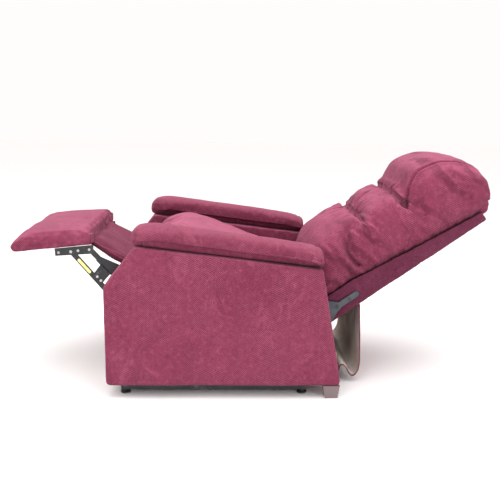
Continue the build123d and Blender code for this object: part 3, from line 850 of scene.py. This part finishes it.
def front_flap():
    """The padded web between footrest and seat, run on a little at its upper end, in a copy of the cloth darkened
    as painted shade.
    """
    piece = copy_nodes("front_flap_web", "front_flap")
    low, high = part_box("front_flap")
    half = high[0]
    remesh(piece, voxel=0.006, relax=4)
    points, normals = surface(piece)
    inflate(piece, np.abs(points[:, 0]) > half - 0.012, cap=0.010, pressure=2.5)
    points, normals = subdivide(piece)
    lift = 0.0045 * ripple(points * (1.0, 0.45, 0.45), size=0.055, seed=61)
    points = pushed(points, normals, lift)
    reach = np.array((0.0, low[1] - high[1], high[2] - low[2]))
    run = reach / np.linalg.norm(reach)
    share = np.clip((high[1] - points[:, 1]) / (high[1] - low[1]), 0, 1)
    points = points + run * (WEB_REACH * smoothstep((share - 0.5) / 0.5))[:, None]
    set_points(piece, points)
    dress(piece, "front_flap", "front_flap", fill=0.3, cloth="shaded_upholstery")


# ---- rear flap ----------------------------------------------------------------------------------
FLAP_BINDING = 0.007           # width of the stitched burgundy edge
FLAP_THICKNESS = 0.0034
FLAP_ROWS = 120
FLAP_COLUMNS = 90
FLAP_INSET = 0.0025            # from the CAD flap's faces to the cloth's middle
FLAP_RISE = 0.026              # how much higher the fold is on the far side


def flap_route(line):
    """A smooth curve by the control points (y, z), as its y, z and length at FLAP_ROWS even steps."""
    data = bpy.data.curves.new("flap_line", "CURVE")
    data.dimensions = "3D"
    data.resolution_u = 12
    spline = data.splines.new("NURBS")
    spline.points.add(len(line) - 1)
    for point, (y, z) in zip(spline.points, line):
        point.co = (0.0, y, z, 1.0)
    spline.order_u = 3
    spline.use_endpoint_u = True
    guide = bpy.data.objects.new("flap_line", data)
    path = bpy.data.meshes.new_from_object(guide)
    route = read(path, "co")
    bpy.data.objects.remove(guide)
    step = np.linalg.norm(np.diff(route, axis=0), axis=1)
    reach = np.concatenate([[0], np.cumsum(step)])
    spots = np.linspace(0, reach[-1], FLAP_ROWS)
    return np.interp(spots, reach, route[:, 1]), np.interp(spots, reach, route[:, 2]), float(reach[-1])


def rear_flap():
    """Lined cloth hung from the back's rear face, round in a J and caught at the low strip."""
    low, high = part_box("rear_flap")
    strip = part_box("rear_flap_strip")[1][1]
    half = high[0]
    wall = high[1] - FLAP_INSET
    floor = low[2] + FLAP_INSET
    line = [(wall - 0.012, high[2] + 0.002), (wall - 0.006, high[2] - 0.05), (wall - 0.004, high[2] - 0.15),
            (wall - 0.001, floor + 0.062), (wall - 0.004, floor + 0.030), (wall - 0.016, floor + 0.008),
            (wall - 0.030, floor), (wall - 0.044, floor + 0.012), (wall - 0.054, floor + 0.034),
            (strip + 0.013, floor + 0.047), (strip + 0.005, floor + 0.040), (strip + 0.002, floor + 0.014)]
    ys, zs, length = flap_route(line)
    bm = bmesh.new()
    grid = []
    for i in range(FLAP_ROWS):
        t = i / (FLAP_ROWS - 1)
        loose = math.sin(math.pi * t)
        for k in range(FLAP_COLUMNS):
            share = k / (FLAP_COLUMNS - 1)
            x = -half + 2 * half * share
            far = 1 - share
            sway = 0.004 * math.sin(x * 17 + t * 5) + 0.0025 * math.sin(x * 43 - t * 9)
            z = zs[i] + FLAP_RISE * far * loose ** 3
            y = ys[i] + sway * loose
            edge = min(x + half, half - x)
            curl = 0.003 * math.exp(-edge / 0.012) * loose
            grid.append(bm.verts.new((x, y - curl, z)))
    for i in range(FLAP_ROWS - 1):
        for k in range(FLAP_COLUMNS - 1):
            here, above = i * FLAP_COLUMNS + k, (i + 1) * FLAP_COLUMNS + k
            bm.faces.new((grid[here], grid[here + 1], grid[above + 1], grid[above]))
    mesh = bpy.data.meshes.new("rear_flap_cloth")
    bm.normal_update()
    bm.to_mesh(mesh)
    bm.free()
    piece = link("rear_flap_cloth", mesh)
    mesh.materials.append(MATERIALS["upholstery"])
    mesh.materials.append(MATERIALS["lining"])
    outside = mesh.polygons[FLAP_COLUMNS * 3].normal.y > 0
    mod = piece.modifiers.new("cloth_thickness", "SOLIDIFY")
    mod.thickness = FLAP_THICKNESS
    mod.offset = -1.0 if outside else 1.0
    mod.use_rim = True
    mod.material_offset = 1
    apply_modifiers(piece)
    for face in piece.data.polygons:
        face.use_smooth = True
        if abs(face.center.x) > half - FLAP_BINDING:
            face.material_index = 0
    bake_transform(piece)
    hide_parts("rear_flap")


# ---- put it together ----------------------------------------------------------------------------
def carry_over_materials():
    """Every CAD node gets the procedural material of its slot, except the bracket bolts, in black enamel, and the
    back's frame rails, in a copy of the cloth darkened as painted shade.
    """
    slots = {s["node"]: s["material_slot"] for s in frame["record"]["subparts"]}
    for name, node in frame["nodes"].items():
        node.data.materials.clear()
        node.data.materials.append(MATERIALS[slots[name]])
    frame["nodes"]["bracket_bolts"].data.materials[0] = MATERIALS["black_steel"]
    # painted shade: the frame rails get the darkened copy of the cloth
    frame["nodes"]["back_frame_rails"].data.materials[0] = MATERIALS["shaded_upholstery"]


FLOOR_REACH = 14.0
BACKDROP = (0.990, 0.962, 0.952, 1.0)
BACKDROP_STRENGTH = 1.02


def stage():
    """White paper floor, white surroundings and three soft lamps."""
    mesh = bpy.data.meshes.new("studio_floor")
    corners = ((-1, -1), (1, -1), (1, 1), (-1, 1))
    mesh.from_pydata([(x * FLOOR_REACH, y * FLOOR_REACH, 0) for x, y in corners], [], [(0, 1, 2, 3)])
    floor = link("studio_floor", mesh)
    mesh.materials.append(studio_floor("studio_paper"))
    world = bpy.data.worlds.new("studio")
    world.use_nodes = True
    backdrop = world.node_tree.nodes["Background"]
    backdrop.inputs["Color"].default_value = BACKDROP
    backdrop.inputs["Strength"].default_value = BACKDROP_STRENGTH
    scene.world = world
    area_light("key", (2.4, -2.0, 3.4), (0, 0, 0.3), size=3.6, power=74)
    area_light("top", (0.2, 0.3, 3.4), (0, 0.1, 0), size=3.4, power=84)
    area_light("fill", (3.2, 2.2, 1.6), (0, 0.2, 0.4), size=2.4, power=22)


make_camera()
stage()
carry_over_materials()
back_shell()
back_cushion()
seat_cushion()
for name, sign in (("left", 1), ("right", -1)):
    arm_pad(f"arm_cushion_{name}", f"arm_pad_{name}", sign)
    side_panel(f"panel_cover_{name}", f"side_panel_{name}", sign)
footrest_pad()
front_flap()
rear_flap()

bpy.context.view_layer.update()
